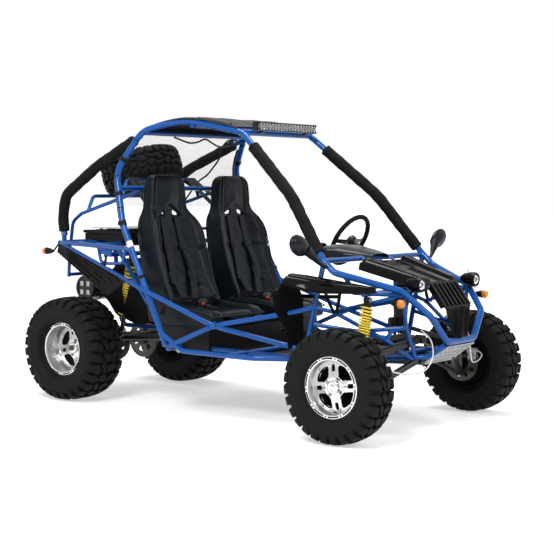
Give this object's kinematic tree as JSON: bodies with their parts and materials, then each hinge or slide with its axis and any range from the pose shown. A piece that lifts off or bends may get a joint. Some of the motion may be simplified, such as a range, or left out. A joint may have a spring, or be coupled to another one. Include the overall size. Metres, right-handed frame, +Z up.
{
  "type": "dune buggy",
  "caption": "Two-seat off-road buggy with an open bent-tube cage, bucket seats, steered front wheels, a live rear axle and a spare wheel.",
  "frame": {"origin": "on the ground, in the middle of the length and width", "axes": "+X forwards, +Y to the vehicle's left, +Z up"},
  "size_m": [2.4274, 1.418, 1.5197],
  "materials": {
    "frame_blue": "gloss",
    "black_paint": "satin",
    "foam": "matte",
    "roof_black": "satin",
    "hood_black": "gloss",
    "trim_black": "satin",
    "vinyl": "satin",
    "aluminium": "polished",
    "tyre": "matte",
    "lamp": "gloss",
    "amber": "gloss",
    "steel": "satin",
    "spring": "gloss",
    "engine": "satin",
    "net": "matte"
  },
  "bodies": {
    "chassis": {"left_hoop": "frame_blue", "right_hoop": "frame_blue", "nose_frame": "frame_blue", "floor_frame": "frame_blue", "roof_bars": "frame_blue", "side_bars": "frame_blue", "rear_frame": "frame_blue", "foam_pads": "foam", "floor_pan": "black_paint", "roof_panel": "roof_black", "light_bar": "lamp", "left_seat": "vinyl", "right_seat": "vinyl", "hood": "hood_black", "skid_plate": "aluminium", "dash_cowl": "trim_black", "front_guards": "hood_black", "rear_fenders": "hood_black", "headlights": "lamp", "turn_signals": "amber", "mirrors": "trim_black", "front_arms": "black_paint", "steering_gear": "black_paint", "pedals": "black_paint", "swing_arm": "black_paint", "shock_absorbers": "spring", "engine": "engine", "muffler": "black_paint", "rear_box": "trim_black", "rear_net": "net", "spare_tyre": "tyre", "spare_rim": "aluminium"},
    "steering_wheel": {"steering_wheel": "trim_black"},
    "tie_rods": {"tie_rods": "steel"},
    "left_knuckle": {"left_knuckle": "steel"},
    "right_knuckle": {"right_knuckle": "steel"},
    "left_front_wheel": {"left_front_tyre": "tyre", "left_front_rim": "aluminium"},
    "right_front_wheel": {"right_front_tyre": "tyre", "right_front_rim": "aluminium"},
    "rear_axle": {"rear_axle": "steel", "left_rear_tyre": "tyre", "right_rear_tyre": "tyre", "left_rear_rim": "aluminium", "right_rear_rim": "aluminium"}
  },
  "joints": [
    {"name": "steering", "type": "hinge", "parent": "chassis", "child": "steering_wheel", "pos_m": [0.3657, 0.277, 0.89], "axis": [-0.8829, 0, 0.4695], "range_deg": [-100, 100]},
    {"name": "rack_slide", "type": "slide", "parent": "chassis", "child": "tie_rods", "axis": [0, 1, 0], "range_m": [-0.0387, 0.0387]},
    {"name": "left_steer", "type": "hinge", "parent": "chassis", "child": "left_knuckle", "pos_m": [0.9157, 0.497, 0.292], "axis": [0, 0, 1], "range_deg": [-24, 24]},
    {"name": "right_steer", "type": "hinge", "parent": "chassis", "child": "right_knuckle", "pos_m": [0.9157, -0.497, 0.292], "axis": [0, 0, 1], "range_deg": [-24, 24]},
    {"name": "left_front_spin", "type": "hinge", "parent": "left_knuckle", "child": "left_front_wheel", "pos_m": [0.9157, 0.62, 0.2667], "axis": [0, 1, 0], "continuous": true},
    {"name": "right_front_spin", "type": "hinge", "parent": "right_knuckle", "child": "right_front_wheel", "pos_m": [0.9157, -0.62, 0.2667], "axis": [0, 1, 0], "continuous": true},
    {"name": "rear_axle_spin", "type": "hinge", "parent": "chassis", "child": "rear_axle", "pos_m": [-0.9343, 0, 0.2794], "axis": [0, 1, 0], "continuous": true}
  ],
  "couplings": [
    {"joint": "rack_slide", "follows": "steering", "m_per_rad": -0.02214},
    {"joint": "left_steer", "follows": "steering", "ratio": 0.24},
    {"joint": "right_steer", "follows": "steering", "ratio": 0.24}
  ]
}
